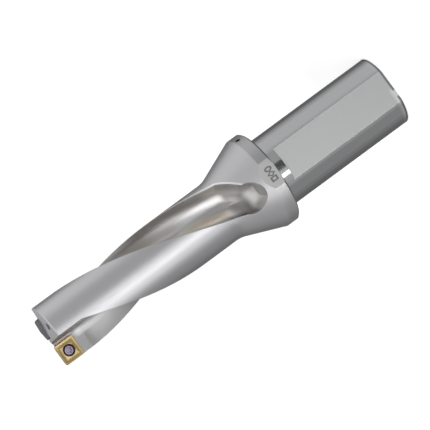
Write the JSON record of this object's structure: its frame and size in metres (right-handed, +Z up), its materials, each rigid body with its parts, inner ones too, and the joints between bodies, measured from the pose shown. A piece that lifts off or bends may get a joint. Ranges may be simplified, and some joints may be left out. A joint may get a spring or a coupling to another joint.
{
  "type": "indexable insert drill",
  "caption": "Indexable drill: fluted steel body on a flanged cylindrical shank with a clamping flat, and square carbide inserts screwed into its end.",
  "frame": {"origin": "centre of the shank's end face, which the drill stands on", "axes": "+Z up the drill's axis to the cutting end, -Y out of the shank's clamping flat and of the peripheral insert's rake face"},
  "size_m": [0.0432, 0.0422, 0.1801],
  "materials": {
    "body_steel": "satin",
    "gold_coating": "coated, semi-gloss",
    "dark_coating": "coated, semi-gloss",
    "screw_steel": "polished"
  },
  "bodies": {
    "root": {"drill_body": "body_steel", "peripheral_insert": "gold_coating", "central_insert": "dark_coating", "peripheral_insert_screw": "screw_steel", "central_insert_screw": "screw_steel"}
  },
  "joints": []
}
